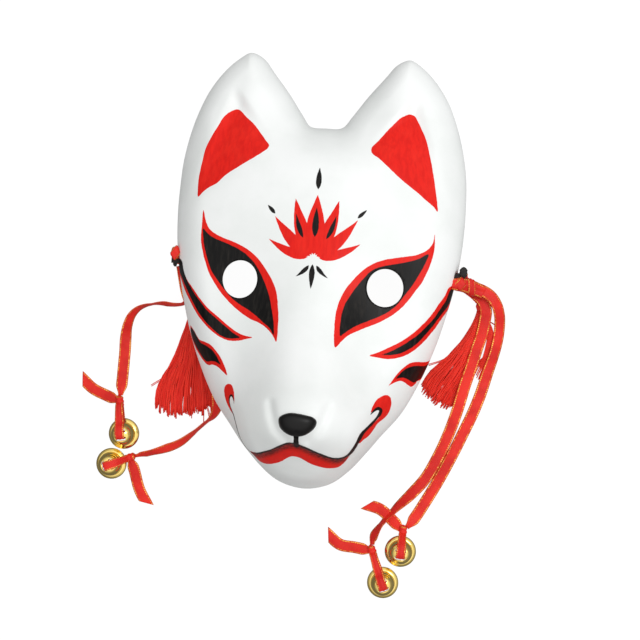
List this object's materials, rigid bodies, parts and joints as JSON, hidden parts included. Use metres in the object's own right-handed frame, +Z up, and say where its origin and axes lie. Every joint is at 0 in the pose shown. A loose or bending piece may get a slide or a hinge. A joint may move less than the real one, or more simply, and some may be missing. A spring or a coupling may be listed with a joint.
{
  "type": "kitsune mask",
  "caption": "Full-face fox mask, a hollow thin shell with eye holes, pointed ears and long snout, with ribbons, cup bells and tassels tied at the temples.",
  "frame": {"origin": "middle of the shell's bounding box, on the surface it lies on, without what is tied to it", "axes": "+Z up out of the face as the mask lies on its rim, +Y from the chin towards the ear tips, +X to the right as the face is looked at"},
  "size_m": [0.2542, 0.3208, 0.0898],
  "materials": {
    "shell": "white satin, hand-painted in red and black",
    "ribbon": "red satin with gold thread along both edges",
    "tassel": "red silky thread",
    "bell": "polished gold plate",
    "elastic": "black woven elastic"
  },
  "bodies": {
    "root": {"mask_shell": "shell", "head_band": "elastic", "ribbon_hitch_left": "ribbon", "ribbon_hitch_right": "ribbon", "tassel_left": "tassel", "tassel_right": "tassel", "ribbon_left_outer": "ribbon", "ribbon_left_inner": "ribbon", "ribbon_right_inner": "ribbon", "ribbon_right_outer": "ribbon", "ribbon_end_left_outer": "ribbon", "ribbon_end_left_inner": "ribbon", "ribbon_end_right_inner": "ribbon", "ribbon_end_right_outer": "ribbon", "bell_left_outer": "bell", "bell_left_inner": "bell", "bell_right_inner": "bell", "bell_right_outer": "bell"}
  },
  "joints": []
}
